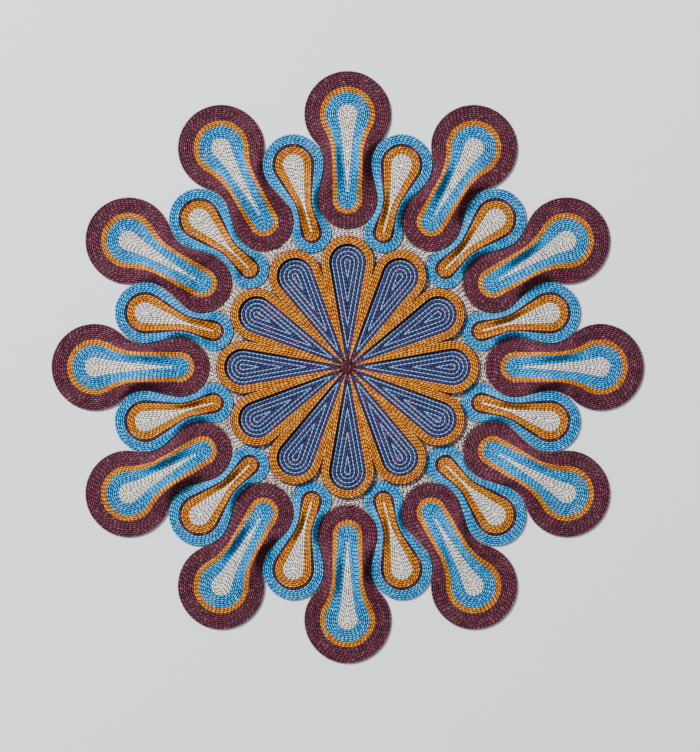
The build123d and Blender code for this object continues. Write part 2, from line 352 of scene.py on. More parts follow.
@dataclass
class StrandMaker:
    """Turns strands into one closed mesh piece."""

    sweep: SweepTree
    random: np.random.Generator
    unevenness: float = 0.02
    latest_start: float = 60.0
    triangles: int = 0

    def wire_mesh(self, name: str, strands: list[Strand]) -> bpy.types.Mesh:
        """Mesh of edges alone along the strands' centre lines, with their radii and tones."""
        places, edges, girths, tones, starts = [], [], [], [], []
        count = 0
        for strand in strands:
            points = strand.points
            size = len(points)
            if strand.closed:
                points = np.roll(points, int(self.random.integers(size)), axis=0)
            places.append(points)
            chain = np.arange(size - 1) + count
            edges.append(np.stack([chain, chain + 1], axis=1))
            if strand.closed:
                edges.append(np.array([[count + size - 1, count]]))
            girths.append(np.full(size, strand.radius * (1 + self.random.normal(0, self.unevenness))))
            tones.append(np.full(size, strand.tone))
            starts.append(np.full(size, self.random.uniform(0, self.latest_start)))
            count += size
        mesh = bpy.data.meshes.new(name)
        vertices = np.concatenate(places) * MM
        pairs = np.concatenate(edges)
        mesh.vertices.add(len(vertices))
        mesh.vertices.foreach_set("co", vertices.astype(np.float32).ravel())
        mesh.edges.add(len(pairs))
        mesh.edges.foreach_set("vertices", pairs.astype(np.int32).ravel())
        for label, values in (("girth", girths), ("tone", tones), ("start", starts)):
            data = np.concatenate(values) * (MM if label == "girth" else 1.0)
            made = mesh.attributes.new(label, "FLOAT", "POINT")
            made.data.foreach_set("value", data.astype(np.float32))
        mesh.update()
        return mesh

    def make(
        self, name: str, strands: list[Strand], paper: bpy.types.Material, sides: int = 6
    ) -> bpy.types.Object:
        """Sweeps strands into a finished piece, whose object sits at the origin."""
        wires = bpy.data.objects.new(name + "_wires", self.wire_mesh(name + "_wires", strands))
        bpy.context.scene.collection.objects.link(wires)
        sweep = wires.modifiers.new("sweep", "NODES")
        sweep.node_group = self.sweep.tree
        sweep[self.sweep.sockets["Section sides"]] = sides
        sweep[self.sweep.sockets["Section radius"]] = 1.0
        sweep[self.sweep.sockets["Paper"]] = paper
        seen = wires.evaluated_get(bpy.context.evaluated_depsgraph_get())
        mesh = bpy.data.meshes.new_from_object(seen)
        wires.modifiers.remove(sweep)
        bpy.data.objects.remove(wires)
        mesh.name = name
        mesh.shade_smooth()
        self.unwrap(mesh)
        piece = bpy.data.objects.new(name, mesh)
        bpy.context.scene.collection.objects.link(piece)
        mesh.calc_loop_triangles()
        self.triangles += len(mesh.loop_triangles)
        return piece

    def unwrap(self, mesh: bpy.types.Mesh) -> None:
        """Lays the strands' skins end to end, in rows, in one square UV map."""
        end_gap, seam_gap, row_height, row_spare, margin = 8.0, 3.0, 7.0, 12.0, 0.03
        longest_face = 20.0
        corners = np.empty(len(mesh.loops), np.int32)
        mesh.loops.foreach_get("vertex_index", corners)
        sizes = np.empty(len(mesh.polygons), np.int32)
        mesh.polygons.foreach_get("loop_total", sizes)
        along = self.read(mesh, "along") / MM
        around = self.read(mesh, "around")
        start = self.read(mesh, "start")
        labels, strip = np.unique(start, return_inverse=True)
        lengths = np.zeros(len(labels))
        np.maximum.at(lengths, strip, along)
        offsets = np.concatenate([[0.0], np.cumsum(lengths + end_gap)])
        owner = np.repeat(np.arange(len(sizes)), sizes)
        first = np.concatenate([[0], np.cumsum(sizes)[:-1]])
        u = along[corners]
        v = around[corners]
        low_u, high_u = np.minimum.reduceat(u, first), np.maximum.reduceat(u, first)
        wraps = (high_u - low_u > longest_face)[owner] & (u < (low_u + longest_face / 2)[owner])
        u = np.where(wraps, high_u[owner] + seam_gap, u)
        low_v, high_v = np.minimum.reduceat(v, first), np.maximum.reduceat(v, first)
        v = np.where((high_v - low_v > 0.5)[owner] & (v < 0.25), v + 1.0, v)
        u = u + offsets[strip[corners]]
        width = math.sqrt(offsets[-1] * row_height)
        row = np.floor(np.minimum.reduceat(u, first) / width)[owner]
        rows = row.max() + 1
        layer = mesh.uv_layers.new(name="OFBake")
        across = (u - row * width) / (width + row_spare)
        laid = np.stack([across, (row + margin + (1 - 2 * margin) * v) / rows], axis=1)
        layer.data.foreach_set("uv", np.clip(laid, 0, 1).astype(np.float32).ravel())

    @staticmethod
    def read(mesh: bpy.types.Mesh, name: str) -> np.ndarray:
        """Values of a mesh's point attribute."""
        values = np.empty(len(mesh.vertices), np.float32)
        mesh.attributes[name].data.foreach_get("value", values)
        return values.astype(float)


# Finishes

Operand = Union["Wave", float]


@dataclass
class Wave:
    """A shader value that takes part in ordinary expressions."""

    shop: "Shader"
    socket: bpy.types.NodeSocket

    def math(self, operation: str, *others: Operand) -> "Wave":
        """Result of a Math node on this value and others."""
        return self.shop.math(operation, self, *others)

    def __add__(self, other: Operand) -> "Wave":
        """Sum."""
        return self.math("ADD", other)

    def __sub__(self, other: Operand) -> "Wave":
        """Difference."""
        return self.math("SUBTRACT", other)

    def __rsub__(self, other: Operand) -> "Wave":
        """Difference from a number."""
        return self.shop.math("SUBTRACT", other, self)

    def __mul__(self, other: Operand) -> "Wave":
        """Product."""
        return self.math("MULTIPLY", other)

    def __truediv__(self, other: Operand) -> "Wave":
        """Quotient."""
        return self.math("DIVIDE", other)

    def ramp(self, low: float, high: float) -> "Wave":
        """Smooth step from 0 at low to 1 at high."""
        step = {"interpolation_type": "SMOOTHSTEP"}
        made = self.shop.node("ShaderNodeMapRange", step, Value=self, From_Min=low, From_Max=high)
        return Wave(self.shop, made.outputs["Result"])

    __radd__ = __add__
    __rmul__ = __mul__


class Shader(NodeBench):
    """Node work for one material."""

    def __init__(self, name: str) -> None:
        """Starts an empty material with a Principled shader."""
        self.material = bpy.data.materials.new(name)
        self.material.use_nodes = True
        self.tree = self.material.node_tree
        self.principled = self.tree.nodes["Principled BSDF"]

    def math(self, operation: str, *values: Operand) -> Wave:
        """Math node on up to three values."""
        made = self.node("ShaderNodeMath", {"operation": operation})
        for socket, value in zip(made.inputs, values):
            self.feed(socket, value)
        return Wave(self, made.outputs["Value"])

    def attribute(self, name: str) -> Wave:
        """Value of a mesh attribute."""
        made = self.node("ShaderNodeAttribute", {"attribute_name": name})
        return Wave(self, made.outputs["Fac"])

    def mix(self, factor: Operand, first: Any, second: Any) -> bpy.types.NodeSocket:
        """Colour between two colours."""
        made = self.node("ShaderNodeMix", {"data_type": "RGBA"})
        factor_at, first_at, second_at, result_at = 0, 6, 7, 2
        for index, value in ((factor_at, factor), (first_at, first), (second_at, second)):
            self.feed(made.inputs[index], value)
        return made.outputs[result_at]

    def hash(self, first: Wave, second: Wave) -> Wave:
        """Random number that holds for each pair of whole numbers."""
        pair = self.node("ShaderNodeCombineXYZ", X=first, Y=second)
        made = self.node("ShaderNodeTexWhiteNoise", {"noise_dimensions": "2D"}, Vector=pair.outputs[0])
        return Wave(self, made.outputs["Value"])

    def noise(self, scale: float, detail: float = 2.0) -> Wave:
        """Cloudy noise in the piece's own coordinates."""
        place = self.node("ShaderNodeTexCoord")
        made = self.node(
            "ShaderNodeTexNoise", Vector=place.outputs["Object"], Scale=scale, Detail=detail
        )
        return Wave(self, made.outputs["Fac"])

    def dress(self, colour: Any, roughness: Operand, bump: bpy.types.Node) -> bpy.types.Material:
        """Feeds the Principled shader and gives back the finished material."""
        inputs = self.principled.inputs
        self.feed(inputs["Base Color"], colour)
        self.feed(inputs["Roughness"], roughness)
        self.feed(inputs["Normal"], bump.outputs["Normal"])
        return self.material


Triple = tuple[float, float, float]


@dataclass(frozen=True)
class RolledPaper:
    """Strands rolled from a paper strip, so an edge of the strip winds round each of them."""

    name: str
    main: Triple
    light: Triple
    deep: Triple
    # Colour of the strip's dark edge, also used as painted shade on the strands' sides
    seam_and_groove_shade: Triple
    fleck: Triple
    fleck_share: float = 0.12
    turn: float = 1.0
    seam_width: float = 0.25
    # groove and flank: where the painted shade on a strand's sides begins and where it is full
    groove: float = 0.11
    roughness: float = 0.62
    shine: float = 0.12
    flank: float = 0.31
    # How strongly the dark edge and the painted side shade cover the paper's colour
    seam_and_shade_strength: float = 0.94

    def winding(self, shop: Shader) -> Wave:
        """Turns of the paper strip up to each place on a strand."""
        along = shop.attribute("along") / (FOLD * MM)
        return along + shop.attribute("start") + shop.attribute("around") * self.turn

    def seam_mask(self, winding: Wave) -> Wave:
        """1 on the strip's edge and 0 off it."""
        edge = (winding.math("FRACT") - 0.5).math("ABSOLUTE") * 2.0
        return edge.ramp(1.0 - self.seam_width * 1.55, 1.0 - self.seam_width * 0.85)

    def groove_shade_mask(self, shop: Shader) -> Wave:
        """Painted shade: 0 on a strand's top and 1 on its sides, which darken as if shaded in the
        grooves between strands.
        """
        side = (shop.attribute("around") - 0.5).math("ABSOLUTE") * 2.0
        return side.ramp(self.groove, self.flank)

    def colour(self, shop: Shader, fibre: Wave) -> bpy.types.NodeSocket:
        """Colour over a strand, with a tone of its own on each turn of the strip, and painted shade on
        its sides.
        """
        winding = self.winding(shop)
        number = winding.math("FLOOR")
        chance = shop.hash(number, shop.attribute("tone") * 97.0)
        other = shop.hash(number + 0.5, shop.attribute("start") * 3.0)
        fleck = 1.0 - other.ramp(0.0, self.fleck_share)
        colour = shop.mix(chance, self.main, self.light)
        colour = shop.mix(other.ramp(0.62, 0.95) * 0.75, colour, self.deep)
        colour = shop.mix(fleck * 0.8, colour, self.fleck)
        colour = shop.mix(fibre.ramp(0.45, 0.75) * 0.25, colour, self.deep)
        # Painted shade: the strand's sides darken towards the dark edge colour, standing in for shade
        # in the grooves between strands
        colour = shop.mix(self.groove_shade_mask(shop) * self.seam_and_shade_strength, colour, self.seam_and_groove_shade)
        return shop.mix(self.seam_mask(winding) * self.seam_and_shade_strength, colour, self.seam_and_groove_shade)

    def material(self) -> bpy.types.Material:
        """Builds the material."""
        shop = Shader(self.name)
        fibre = shop.noise(900.0, 3.0)
        height = (1.0 - self.seam_mask(self.winding(shop))) * 0.8 + fibre * 0.15
        bump = shop.node("ShaderNodeBump", Height=height, Strength=0.5, Distance=0.0003)
        shop.principled.inputs["Specular IOR Level"].default_value = self.shine
        return shop.dress(self.colour(shop, fibre), self.roughness + fibre * 0.2, bump)


@dataclass(frozen=True)
class BandedPaper(RolledPaper):
    """Rolled paper whose strands take turns between two papers by their tone."""

    second: Triple = (0.5, 0.5, 0.8)
    # Strength of the dark edge and the painted side shade on the pale strands
    second_seam_and_shade_strength: float = 0.9

    def colour(self, shop: Shader, fibre: Wave) -> bpy.types.NodeSocket:
        """Colour over a strand, with the second paper on strands of high tone, and painted shade on
        the sides of both.
        """
        first = super().colour(shop, fibre)
        # Painted shade on the pale strands' sides, and their dark edge
        pale = shop.mix(self.groove_shade_mask(shop) * self.second_seam_and_shade_strength, self.second, self.seam_and_groove_shade)
        pale = shop.mix(self.seam_mask(self.winding(shop)) * self.second_seam_and_shade_strength, pale, self.seam_and_groove_shade)
        return shop.mix(shop.attribute("tone").ramp(0.6, 0.7), first, pale)


@dataclass(frozen=True)
class Card:
    """Smooth dark grey board under the strands. Its dark colour is painted shade: it shows through the
    gaps between strands, where shadow falls.
    """

    name: str
    face: Triple
    speck: Triple

    def material(self) -> bpy.types.Material:
        """Builds the material."""
        shop = Shader(self.name)
        fibre = shop.noise(260.0, 5.0)
        speck = shop.noise(1400.0, 2.0)
        colour = shop.mix(fibre.ramp(0.4, 0.7) * 0.35, self.face, self.speck)
        colour = shop.mix(speck.ramp(0.62, 0.75) * 0.4, colour, self.speck)
        bump = shop.node("ShaderNodeBump", Height=fibre, Strength=0.25, Distance=0.0002)
        return shop.dress(colour, 0.75 + fibre * 0.15, bump)


@dataclass(frozen=True)
class Wall:
    """Plain pale ground that the rosette lies on."""

    name: str
    face: Triple

    def material(self) -> bpy.types.Material:
        """Builds the material."""
        shop = Shader(self.name)
        shop.feed(shop.principled.inputs["Base Color"], self.face)
        shop.feed(shop.principled.inputs["Roughness"], 0.9)
        return shop.material


class Paper(Enum):
    """Papers that the strands are rolled from."""

    # Each paper's near-black edge colour also serves as the painted shade on its strands' sides
    MAROON = RolledPaper(
        "maroon_rolled_paper",
        main=(0.112, 0.018, 0.035), light=(0.195, 0.052, 0.078), deep=(0.052, 0.009, 0.022),
        seam_and_groove_shade=(0.006, 0.002, 0.005), fleck=(0.28, 0.105, 0.145), fleck_share=0.08,
    )
    BLUE = RolledPaper(
        "blue_rolled_paper",
        main=(0.011, 0.33, 0.79), light=(0.055, 0.50, 0.90), deep=(0.004, 0.15, 0.48),
        seam_and_groove_shade=(0.003, 0.009, 0.036), fleck=(0.34, 0.68, 0.90), groove=0.10,
    )
    ORANGE = RolledPaper(
        "orange_rolled_paper",
        main=(0.69, 0.185, 0.005), light=(0.82, 0.34, 0.018), deep=(0.42, 0.080, 0.003),
        seam_and_groove_shade=(0.022, 0.005, 0.003), fleck=(0.90, 0.48, 0.11),
    )
    CREAM = RolledPaper(
        "cream_rolled_paper",
        main=(0.97, 0.925, 0.84), light=(0.98, 0.955, 0.91), deep=(0.86, 0.75, 0.60),
        seam_and_groove_shade=(0.018, 0.012, 0.011), fleck=(0.98, 0.97, 0.96), fleck_share=0.2, seam_width=0.24,
        groove=0.13,
    )
    GROUND = RolledPaper(
        "speckled_rolled_paper",
        main=(0.95, 0.84, 0.73), light=(0.98, 0.93, 0.86), deep=(0.56, 0.37, 0.30),
        seam_and_groove_shade=(0.030, 0.010, 0.010), fleck=(0.24, 0.07, 0.07), fleck_share=0.2, seam_width=0.28,
        groove=0.10,
    )
    PETAL = BandedPaper(
        "petal_rolled_paper",
        main=(0.017, 0.021, 0.092), light=(0.034, 0.054, 0.185), deep=(0.052, 0.010, 0.064),
        seam_and_groove_shade=(0.003, 0.003, 0.012), fleck=(0.21, 0.034, 0.15), fleck_share=0.16,
        second=(0.22, 0.43, 0.73),
    )
    PLUM = RolledPaper(
        "plum_rolled_paper",
        main=(0.070, 0.011, 0.022), light=(0.15, 0.028, 0.046), deep=(0.022, 0.005, 0.010),
        seam_and_groove_shade=(0.003, 0.001, 0.002), fleck=(0.30, 0.10, 0.12), seam_width=0.30, groove=0.10,
    )


# The rosette's own parts


@dataclass(frozen=True)
class Band:
    """Strands of one paper between two outlines of a lobe."""

    name: str
    paper: Paper
    slot: str
    strands: int
    closing: bool = False
    solid: bool = False


@dataclass
class LobeRing:
    """Twelve equal lobes round the rosette."""

    prefix: str
    offset: float
    outlines: tuple[Keyhole, ...]
    bands: tuple[Band, ...]
    ridge: float
    valley: float
    base: float
    nested: bool

    def between(self, band: int, share: float, from_edge: float) -> Keyhole:
        """Outline part of the way across a band.

        Args:
            band: Which band.
            share: 0 at its outer outline and 1 at its inner one.
            from_edge: Distance in from its outer outline on the inner round.
        """
        first, last = self.outlines[band], self.outlines[band + 1]
        outer, waist, hollow, inner, inner_at = (
            getattr(first, name) + (getattr(last, name) - getattr(first, name)) * share
            for name in ("outer", "waist", "hollow", "inner", "inner_at")
        )
        if self.bands[band].closing:
            short = max(0.0, from_edge + TIGHTEST_BEND - first.inner)
            inner = max(first.inner - from_edge, TIGHTEST_BEND)
            inner_at = first.inner_at + short * DRAW_BACK
        hollow_at = first.hollow_at
        if not self.nested:
            hollow_at = first.outer_at - math.sqrt((outer + hollow) ** 2 - (waist + hollow) ** 2)
        return Keyhole(first.outer_at, outer, inner_at, inner, waist, hollow, hollow_at)

    @staticmethod
    def mirrored(right: np.ndarray) -> np.ndarray:
        """Closed loop from its right half."""
        left = right[::-1] * [-1.0, 1.0]
        inside = np.abs(left[:, 0]) > TOUCHING
        return np.concatenate([right, left[inside]])

    def inset(self, outline: Keyhole, depth: float) -> Optional[np.ndarray]:
        """Right half of an outline moved in, cut off where it meets the lobe's axis."""
        side = outline.right_side(STEP * 0.7)
        ahead = np.gradient(side, axis=0)
        ahead /= np.linalg.norm(ahead, axis=1)[:, None]
        moved = side + depth * np.stack([ahead[:, 1], -ahead[:, 0]], axis=1)
        moved[0, 0] = 0.0
        least_round, axis_gap = STRAND * 0.6, 0.25
        if outline.outer - depth < least_round:
            return None
        over = np.nonzero(moved[1:, 0] < axis_gap)[0]
        end = over[0] + 1 if len(over) else len(moved)
        return moved[:end] if end > 3 else None

    def band_strands(self, relief: Relief, index: int, random: np.random.Generator) -> list[Strand]:
        """Strands of one band of the lobe that points along +Y."""
        band = self.bands[index]
        found = []
        for k in range(band.strands):
            if band.solid:
                flat = self.inset(self.outlines[index], STRAND * (k + 0.5))
            else:
                share = (k + 0.5) / band.strands
                flat = self.between(index, share, STRAND * (k + 0.5)).right_side(STEP)
            if flat is None:
                continue
            path = relief.under_skin(self.mirrored(flat), STRAND / 2)
            found.append(Strand(path, True, STRAND / 2 * OVERLAP, float(random.uniform(0, 0.5))))
        if band.solid:
            found += self.stems(relief, random)
        return found

    def stems(self, relief: Relief, random: np.random.Generator) -> list[Strand]:
        """Strands down the axis and a coil, which fill the core's loops where they close."""
        core = self.outlines[-1]
        along = np.arange(core.outer_at + core.outer * 0.25, core.inner_at - core.inner, -0.5)
        widths = core.half_widths(along)
        least_room, most_room, shortest = 0.12, STRAND / 2 + 0.6, 5
        found = []
        for k in range(-1, int(core.outer / STRAND)):
            room = widths - STRAND * (k + 1)
            inside = along[(room > least_room) & (room < most_room)]
            if len(inside) < shortest:
                continue
            flat = run(np.array([0.0, inside[0]]), np.array([0.0, inside[-1]]), STEP)
            path = relief.under_skin(flat, STRAND / 2)
            found.append(Strand(path, False, STRAND / 2, float(random.uniform(0, 0.5))))
        turns = np.linspace(0.0, 3.5 * math.pi, 30)
        tightness = 0.75
        away = 0.25 + turns * STRAND / (2 * math.pi) * tightness
        coil = np.stack([away * np.sin(turns), core.outer_at + away * np.cos(turns)], axis=1)
        path = relief.under_skin(coil, STRAND / 2 + 0.5)
        found.append(Strand(path, False, STRAND / 2, float(random.uniform(0, 0.5))))
        return found

    def build(self, maker: StrandMaker, papers: dict[Paper, bpy.types.Material]) -> None:
        """Makes every band of every lobe of the ring."""
        relief = Relief(self.outlines, self.ridge, self.valley, self.base)
        for index, band in enumerate(self.bands):
            lobes = [
                turn_all(self.band_strands(relief, index, maker.random), i + self.offset)
                for i in range(LOBE_PAIRS)
            ]
            if index == 0:
                sets = {f"{self.prefix}_{i + 1:02d}_{band.name}": lobe for i, lobe in enumerate(lobes)}
            else:
                sets = {f"{self.prefix}_{band.name}": [strand for lobe in lobes for strand in lobe]}
            for node, strands in sets.items():
                fit(maker.make(f"{node}_strands", strands, papers[band.paper]), band.slot, node)


@dataclass
class Medallion:
    """Petals, their raised frames, the ground round them and the knot at the centre."""

    reach: float
    frame_radius: float
    frame_width: float
    flat_top: float
    rise: float
    centre_rise: float
    flat_from: float
    knot: float
    large_round: tuple[float, float]
    small_round: tuple[float, float]
    petal_pitch: float = 2.08
    pale_radius: float = 0.76
    dark_radius: float = 1.27
    # Thin dark strands at the frames' edges are painted shade of the frames' walls
    shade_line_radius: float = 0.48
    under_radius: float = 1.0
    under_tone: float = 0.2
    ground_rows: int = 24
    ground_gap: float = 0.7
    spokes: int = 24

    @property
    def petal_at(self) -> float:
        """Distance from the centre to a petal's round end."""
        return self.reach - self.frame_radius

    @property
    def petal_radius(self) -> float:
        """Radius of a petal's round end."""
        return self.frame_radius - self.frame_width

    @property
    def lean(self) -> float:
        """Angle between a petal's axis and its side."""
        return math.asin(self.petal_radius / self.petal_at)

    def teardrop(self, outset: float) -> np.ndarray:
        """Right half of a petal's outline moved out or in, from its tip down to the centre."""
        radius = self.petal_radius + outset
        centre = np.array([0.0, self.petal_at])
        end = centre + polar(radius, -self.lean)
        along = polar(1.0, -self.lean - math.pi / 2)
        if outset < 0:
            stop = end + along * (end[0] / -along[0])
        else:
            stop = end + along * self.petal_at * math.cos(self.lean)
        over = arc(centre, radius, math.pi / 2, -self.lean, STEP)
        return without_repeats(np.concatenate([over, run(end, stop, STEP)]))

    def frame_top(self, points: np.ndarray) -> np.ndarray:
        """Height of the frames' top at each point."""
        away = np.linalg.norm(points[:, :2], axis=1)
        share = np.clip((away - self.knot) / (self.flat_from - self.knot), 0, 1)
        return self.flat_top + self.centre_rise + (self.rise - self.centre_rise) * share

    @staticmethod
    def at_height(points: np.ndarray, heights: Union[np.ndarray, float]) -> np.ndarray:
        """Flat points set at a height."""
        return np.column_stack([points, np.broadcast_to(heights, len(points))])

    @staticmethod
    def in_sector(points: np.ndarray, margin: float) -> np.ndarray:
        """Which points lie within half a pitch of +Y, by a margin."""
        half = PITCH / 2
        return np.abs(points[:, 0]) * math.cos(half) <= points[:, 1] * math.sin(half) - margin

    def clipped(self, outset: float, margin: float, tucked: float) -> np.ndarray:
        """Open path round a petal, without what lies in the next sector or under the knot.

        Args:
            outset: Distance out from the petal's outline.
            margin: Distance kept from the next sector.
            tucked: Distance that the path's ends reach under the knot.
        """
        right = self.teardrop(outset)
        away = np.linalg.norm(right, axis=1)
        right = right[self.in_sector(right, margin) & (away > self.knot - tucked)]
        left = right[::-1] * [-1.0, 1.0]
        return np.concatenate([left[:-1], right])

    def petal_strands(self, random: np.random.Generator) -> list[Strand]:
        """Dark and pale strands in turn, from a petal's rim to its middle."""
        found = self.petal_hearts()
        for k in range(int(self.petal_radius / self.petal_pitch)):
            right = self.teardrop(-self.petal_pitch * (k + 0.5))
            if k == 0:
                right = right[np.linalg.norm(right, axis=1) > self.knot - 1]
            loop = without_repeats(np.concatenate([right, right[::-1] * [-1.0, 1.0]]), TOUCHING)
            if np.linalg.norm(loop[0] - loop[-1]) < TOUCHING:
                loop = loop[:-1]
            pale = k % 2 == 1
            tone = 0.9 if pale else float(random.uniform(0, 0.4))
            path = self.at_height(loop, self.flat_top - 1.0 + (0.12 if pale else 0.0))
            found.append(Strand(path, True, self.pale_radius if pale else self.dark_radius, tone))
        return found

    def petal_hearts(self) -> list[Strand]:
        """Short dark strand in a petal's innermost loop, and a low one under the loops' points."""
        found = []
        spans = (
            (self.petal_at + 1.2, self.petal_at - 9.0, 1.0),
            (self.petal_at - 8.0, self.knot, 1.75),
        )
        for top, bottom, sink in spans:
            flat = run(np.array([0.0, top]), np.array([0.0, bottom]), STEP)
            found.append(Strand(self.at_height(flat, self.flat_top - sink), False, 1.15, 0.2))
        return found

    def frame_strands(self, random: np.random.Generator) -> list[Strand]:
        """Orange strands round one petal, cut off where they meet the next frame's."""
        found = []
        count = round(self.frame_width / STRAND)
        for k in range(count):
            flat = self.clipped(STRAND * (k + 0.5), 0.25, 1.0)
            top = self.frame_top(flat)
            path, tone = self.at_height(flat, top - 1.0), float(random.uniform(0, 0.5))
            found.append(Strand(path, False, 1.05, tone))
            if k in (0, count - 1):
                under = np.maximum(top - 3.0, self.flat_top - 1.0)
                path = self.at_height(flat, under)
                found.append(Strand(path, False, self.under_radius, self.under_tone))
        ray = np.array([math.sin(PITCH / 2), math.cos(PITCH / 2)])
        joint = run(ray * self.knot, ray * (self.flat_from + 10.0), STEP)
        path = self.at_height(joint, self.frame_top(joint) - 1.25)
        found.append(Strand(path, False, self.under_radius, self.under_tone))
        return found

    def frame_shade_line_strands(self) -> list[Strand]:
        """Thin dark strands along both edges of one frame, painted shade that stands in for the shadow
        at the frame's raised walls.
        """
        found = []
        for outset, sink in ((0.1, 0.9), (self.frame_width + 0.3, 0.3)):
            flat = self.clipped(outset, 0.05, 0.5)
            path = self.at_height(flat, self.frame_top(flat) - sink)
            found.append(Strand(path, False, self.shade_line_radius, 0.1))
        return found

    def ground_strands(self, random: np.random.Generator) -> list[Strand]:
        """Cream strands outside one frame, cut off where they meet a lobe or the next ones."""
        found = []
        half = PITCH / 2
        for k in range(self.ground_rows):
            right = self.teardrop(self.frame_width + STRAND * (k + 0.5))
            right = np.concatenate([right[:1], run_through(right, 1.0)])
            clear = self.in_sector(right, 0.6)
            large_at, large = self.large_round
            clear &= np.hypot(right[:, 0], right[:, 1] - large_at) > large + self.ground_gap
            small_at, small = self.small_round
            beside = right - [small_at * math.sin(half), small_at * math.cos(half)]
            clear &= np.hypot(beside[:, 0], beside[:, 1]) > small + self.ground_gap
            clear &= np.linalg.norm(right, axis=1) < large_at + 2
            for piece in stretches(right, clear):
                for side in (1.0, -1.0):
                    path = self.at_height(piece * [side, 1.0], self.flat_top - 1.0)
                    path = path[::2] if len(path) > 5 else path
                    found.append(Strand(path, False, 1.06, float(random.uniform(0, 0.5))))
        return found

    def knot_strands(self, random: np.random.Generator) -> list[Strand]:
        """Short radial strands, every other one longer, and a coil at the centre."""
        found = []
        for i in range(self.spokes):
            longer = i % 2 == 1
            angle = 2 * math.pi * (i + 0.5) / self.spokes
            away = np.linspace(1.4, self.knot + (2.8 if longer else 1.0), 5)
            flat = np.stack([away * math.cos(angle), away * math.sin(angle)], axis=1)
            lift = self.flat_top + 1.15 - 0.012 * away**2 + (0.3 if longer else 0.0)
            girth, tone = (0.55 if longer else 0.78), float(random.uniform(0, 0.5))
            found.append(Strand(self.at_height(flat, lift), False, girth, tone))
        turns = np.linspace(0, 4 * math.pi, 26)
        away = 0.4 + turns * 0.17
        flat = np.stack([away * np.cos(turns), away * np.sin(turns)], axis=1)
        path = self.at_height(flat, self.flat_top + 0.95 - 0.1 * away)
        found.append(Strand(path, False, 0.7, 0.2))
        return found

    def build(self, maker: StrandMaker, papers: dict[Paper, bpy.types.Material]) -> None:
        """Makes the medallion's pieces."""
        edges, ground = [], []
        for i in range(LOBE_PAIRS):
            number = f"{i + 1:02d}"
            sets = (
                (f"petal_{number}", self.petal_strands, Paper.PETAL, "petal_paper"),
                (f"petal_frame_{number}", self.frame_strands, Paper.ORANGE, "orange_paper"),
            )
            for node, strands_of, paper, slot in sets:
                strands = turn_all(strands_of(maker.random), i)
                fit(maker.make(f"{node}_strands", strands, papers[paper]), slot, node)
            edges += turn_all(self.frame_shade_line_strands(), i)
            ground += turn_all(self.ground_strands(maker.random), i)
        # Dark plum strands along the frames' edges, as painted shade of their walls
        fit(maker.make("petal_frame_edge_lines", edges, papers[Paper.PLUM], 5), "maroon_paper")
        cream = maker.make("cream_ground_strands", ground, papers[Paper.GROUND])
        fit(cream, "cream_paper", "cream_ground")
        knot = maker.make("centre_knot_strands", self.knot_strands(maker.random), papers[Paper.PLUM])
        fit(knot, "maroon_paper", "centre_knot")


def run_through(points: np.ndarray, step: float) -> np.ndarray:
    """Points spaced evenly along a path."""
    lengths = np.concatenate([[0.0], np.cumsum(np.linalg.norm(np.diff(points, axis=0), axis=1))])
    even = np.arange(step, lengths[-1], step)
    return np.stack([np.interp(even, lengths, points[:, axis]) for axis in (0, 1)], axis=1)


def stretches(points: np.ndarray, keep: np.ndarray) -> list[np.ndarray]:
    """Runs of kept points that are long enough for a strand."""
    found, current = [], []
    for point, kept in zip(points, keep):
        if kept:
            current.append(point)
        elif current:
            found.append(np.array(current))
            current = []
    if current:
        found.append(np.array(current))
    return [piece for piece in found if len(piece) >= 3]


def fit(piece: bpy.types.Object, slot: str, *nodes: str) -> None:
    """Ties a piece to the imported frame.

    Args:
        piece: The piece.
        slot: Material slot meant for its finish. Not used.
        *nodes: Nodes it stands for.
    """
    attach(piece, "root")
    if nodes:
        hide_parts(*nodes)
    LOG.info("%s: %d faces", piece.name, len(piece.data.polygons))


@dataclass(frozen=True)
class Studio:
    """Camera straight above, pale ground and soft light from the upper left."""

    view_width: float = 0.7095
    lens: float = 150.0
    aim: tuple[float, float] = (0.0025, -0.0091)
    room_tint: Triple = (0.93, 0.95, 1.0)
    room_light: float = 0.27

    def build(self) -> None:
        """Makes the ground, the camera and the lights."""
        self.ground()
        self.camera()
        self.light("key_light", (-2.5, 2.3, 3.7), size=1.6, power=630.0, tint=(0.985, 0.992, 1.0))
        self.light("fill_light", (0.6, -0.4, 3.4), size=2.2, power=24.0, tint=(0.95, 0.97, 1.0))
        world = bpy.data.worlds.new("soft_room")
        world.use_nodes = True
        background = world.node_tree.nodes["Background"].inputs
        background["Color"].default_value = (*self.room_tint, 1)
        background["Strength"].default_value = self.room_light
        bpy.context.scene.world = world

    def ground(self) -> None:
        """Flat ground just under the board."""
        mesh = bpy.data.meshes.new("ground")
        half, low = 4.0, -0.0002
        corners = [(-half, -half, low), (half, -half, low), (half, half, low), (-half, half, low)]
        mesh.from_pydata(corners, [], [(0, 1, 2, 3)])
        mesh.materials.append(Wall("pale_wall", (0.69, 0.70, 0.716)).material())
        ground = bpy.data.objects.new("ground", mesh)
        bpy.context.scene.collection.objects.link(ground)
        ground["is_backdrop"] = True

    def camera(self) -> None:
        """Long lens straight above the rosette."""
        data = bpy.data.cameras.new("camera")
        data.lens = self.lens
        data.sensor_fit = "HORIZONTAL"
        data.clip_end = 50
        camera = bpy.data.objects.new("camera", data)
        height = self.view_width * self.lens / data.sensor_width
        camera.location = (self.aim[0], self.aim[1], height)
        bpy.context.scene.collection.objects.link(camera)
        bpy.context.scene.camera = camera

    def light(self, name: str, place: Triple, size: float, power: float, tint: Triple) -> None:
        """Square soft light that faces the rosette."""
        data = bpy.data.lights.new(name, "AREA")
        data.size = size
        data.energy = power
        data.color = tint
        light = bpy.data.objects.new(name, data)
        light.location = place
        light.rotation_euler = Vector(place).to_track_quat("Z", "Y").to_euler()
        bpy.context.scene.collection.objects.link(light)


